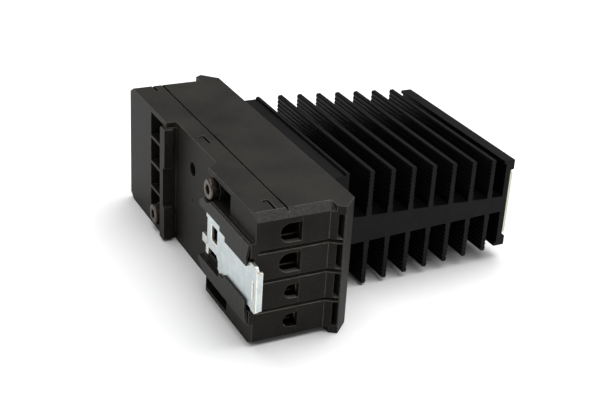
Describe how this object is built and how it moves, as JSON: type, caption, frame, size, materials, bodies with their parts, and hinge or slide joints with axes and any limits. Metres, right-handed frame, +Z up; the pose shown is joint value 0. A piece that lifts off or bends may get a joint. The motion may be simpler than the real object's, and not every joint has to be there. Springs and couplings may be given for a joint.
{
  "type": "solid state relay",
  "caption": "Rail-mounted solid state relay with a finned heat sink, screw terminals at both ends and a sliding steel rail clip.",
  "frame": {"origin": "middle of the base of the relay's box, as it lies on its side", "axes": "+Z up across the 45 mm width, which is along the mounting rail in use; +X from the rail face to the front of the heat sink; -Y the terminal end the rail clip pulls out of, +Y the far terminal end"},
  "size_m": [0.11, 0.12, 0.045],
  "materials": {
    "black_plastic": "moulded glass-filled nylon, satin, fine texture",
    "black_aluminium": "black anodised extrusion",
    "label_cream": "cream plastic label plate, satin",
    "screw_steel": "dulled zinc-plated steel",
    "clip_zinc": "bright blue-white zinc plate on sheet steel",
    "spring_steel": "spring steel wire",
    "terminal_screw": "nickel-plated steel",
    "clamp_steel": "zinc-plated steel",
    "contact_copper": "tinned copper alloy",
    "board_green": "solder-masked circuit board",
    "white_epoxy": "white moulded package",
    "capacitor_red": "dipped film capacitor",
    "resistor_blue": "lacquered resistor",
    "varistor_blue": "epoxy-coated disc",
    "chip_black": "black moulded package",
    "led_green": "green indicator",
    "clear_plastic": "clear acrylic",
    "gold_pin": "gold-flashed pins",
    "thermal_grey": "thermal compound film",
    "ceramic_white": "alumina with copper faces",
    "silicon": "silicon die"
  },
  "bodies": {
    "relay": {"rear_base": "black_plastic", "front_housing": "black_plastic", "heat_sink": "black_aluminium", "front_label_plate": "label_cream", "base_screws": "screw_steel", "clip_spring": "spring_steel", "near_line_bars": "contact_copper", "far_load_bars": "contact_copper", "near_control_contacts": "contact_copper", "far_control_contacts": "contact_copper", "control_board": "board_green", "optocouplers": "white_epoxy", "snubber_capacitors": "capacitor_red", "snubber_resistors": "resistor_blue", "varistors": "varistor_blue", "control_ic": "chip_black", "status_led": "led_green", "light_pipe": "clear_plastic", "gate_pins": "gold_pin", "thermal_film": "thermal_grey", "power_substrate": "ceramic_white", "thyristor_chips": "silicon", "hold_down_bridge": "clamp_steel", "hold_down_screws": "terminal_screw"},
    "rail_clip": {"din_clip": "clip_zinc"},
    "near_power_screw_1": {"near_power_screw_1": "terminal_screw"},
    "near_power_clamp_1": {"near_power_clamp_1": "clamp_steel"},
    "near_power_screw_2": {"near_power_screw_2": "terminal_screw"},
    "near_power_clamp_2": {"near_power_clamp_2": "clamp_steel"},
    "near_control_screw_1": {"near_control_screw_1": "terminal_screw"},
    "near_control_clamp_1": {"near_control_clamp_1": "clamp_steel"},
    "near_control_screw_2": {"near_control_screw_2": "terminal_screw"},
    "near_control_clamp_2": {"near_control_clamp_2": "clamp_steel"},
    "far_power_screw_1": {"far_power_screw_1": "terminal_screw"},
    "far_power_clamp_1": {"far_power_clamp_1": "clamp_steel"},
    "far_power_screw_2": {"far_power_screw_2": "terminal_screw"},
    "far_power_clamp_2": {"far_power_clamp_2": "clamp_steel"},
    "far_control_screw_1": {"far_control_screw_1": "terminal_screw"},
    "far_control_clamp_1": {"far_control_clamp_1": "clamp_steel"},
    "far_control_screw_2": {"far_control_screw_2": "terminal_screw"},
    "far_control_clamp_2": {"far_control_clamp_2": "clamp_steel"}
  },
  "joints": [
    {"name": "rail_clip_slide", "type": "slide", "parent": "relay", "child": "rail_clip", "axis": [0, -1, 0], "range_m": [0, 0.0045], "stiffness_N_per_m": 1500, "springref_m": -0.004, "deforming": ["clip_spring"]},
    {"name": "near_power_screw_1_turn", "type": "hinge", "parent": "relay", "child": "near_power_screw_1", "pos_m": [-0.0277, -0.04605, 0.03795], "axis": [-1, 0, 0], "range_deg": [0, 2884]},
    {"name": "near_power_clamp_1_slide", "type": "slide", "parent": "relay", "child": "near_power_clamp_1", "axis": [1, 0, 0], "range_m": [0, 0.0056]},
    {"name": "near_power_screw_2_turn", "type": "hinge", "parent": "relay", "child": "near_power_screw_2", "pos_m": [-0.0277, -0.04605, 0.02765], "axis": [-1, 0, 0], "range_deg": [0, 2884]},
    {"name": "near_power_clamp_2_slide", "type": "slide", "parent": "relay", "child": "near_power_clamp_2", "axis": [1, 0, 0], "range_m": [0, 0.0056]},
    {"name": "near_control_screw_1_turn", "type": "hinge", "parent": "relay", "child": "near_control_screw_1", "pos_m": [-0.0301, -0.04605, 0.01735], "axis": [-1, 0, 0], "range_deg": [0, 2884]},
    {"name": "near_control_clamp_1_slide", "type": "slide", "parent": "relay", "child": "near_control_clamp_1", "axis": [1, 0, 0], "range_m": [0, 0.004]},
    {"name": "near_control_screw_2_turn", "type": "hinge", "parent": "relay", "child": "near_control_screw_2", "pos_m": [-0.0301, -0.04605, 0.00705], "axis": [-1, 0, 0], "range_deg": [0, 2884]},
    {"name": "near_control_clamp_2_slide", "type": "slide", "parent": "relay", "child": "near_control_clamp_2", "axis": [1, 0, 0], "range_m": [0, 0.004]},
    {"name": "far_power_screw_1_turn", "type": "hinge", "parent": "relay", "child": "far_power_screw_1", "pos_m": [-0.0277, 0.04795, 0.03795], "axis": [-1, 0, 0], "range_deg": [0, 2884]},
    {"name": "far_power_clamp_1_slide", "type": "slide", "parent": "relay", "child": "far_power_clamp_1", "axis": [1, 0, 0], "range_m": [0, 0.0056]},
    {"name": "far_power_screw_2_turn", "type": "hinge", "parent": "relay", "child": "far_power_screw_2", "pos_m": [-0.0277, 0.04795, 0.02765], "axis": [-1, 0, 0], "range_deg": [0, 2884]},
    {"name": "far_power_clamp_2_slide", "type": "slide", "parent": "relay", "child": "far_power_clamp_2", "axis": [1, 0, 0], "range_m": [0, 0.0056]},
    {"name": "far_control_screw_1_turn", "type": "hinge", "parent": "relay", "child": "far_control_screw_1", "pos_m": [-0.0301, 0.04795, 0.01735], "axis": [-1, 0, 0], "range_deg": [0, 2884]},
    {"name": "far_control_clamp_1_slide", "type": "slide", "parent": "relay", "child": "far_control_clamp_1", "axis": [1, 0, 0], "range_m": [0, 0.004]},
    {"name": "far_control_screw_2_turn", "type": "hinge", "parent": "relay", "child": "far_control_screw_2", "pos_m": [-0.0301, 0.04795, 0.00705], "axis": [-1, 0, 0], "range_deg": [0, 2884]},
    {"name": "far_control_clamp_2_slide", "type": "slide", "parent": "relay", "child": "far_control_clamp_2", "axis": [1, 0, 0], "range_m": [0, 0.004]}
  ],
  "couplings": [
    {"joint": "near_power_screw_1_turn", "follows": "near_power_clamp_1_slide", "rad_per_m": 8976},
    {"joint": "near_power_screw_2_turn", "follows": "near_power_clamp_2_slide", "rad_per_m": 8976},
    {"joint": "near_control_screw_1_turn", "follows": "near_control_clamp_1_slide", "rad_per_m": 12566},
    {"joint": "near_control_screw_2_turn", "follows": "near_control_clamp_2_slide", "rad_per_m": 12566},
    {"joint": "far_power_screw_1_turn", "follows": "far_power_clamp_1_slide", "rad_per_m": 8976},
    {"joint": "far_power_screw_2_turn", "follows": "far_power_clamp_2_slide", "rad_per_m": 8976},
    {"joint": "far_control_screw_1_turn", "follows": "far_control_clamp_1_slide", "rad_per_m": 12566},
    {"joint": "far_control_screw_2_turn", "follows": "far_control_clamp_2_slide", "rad_per_m": 12566}
  ]
}
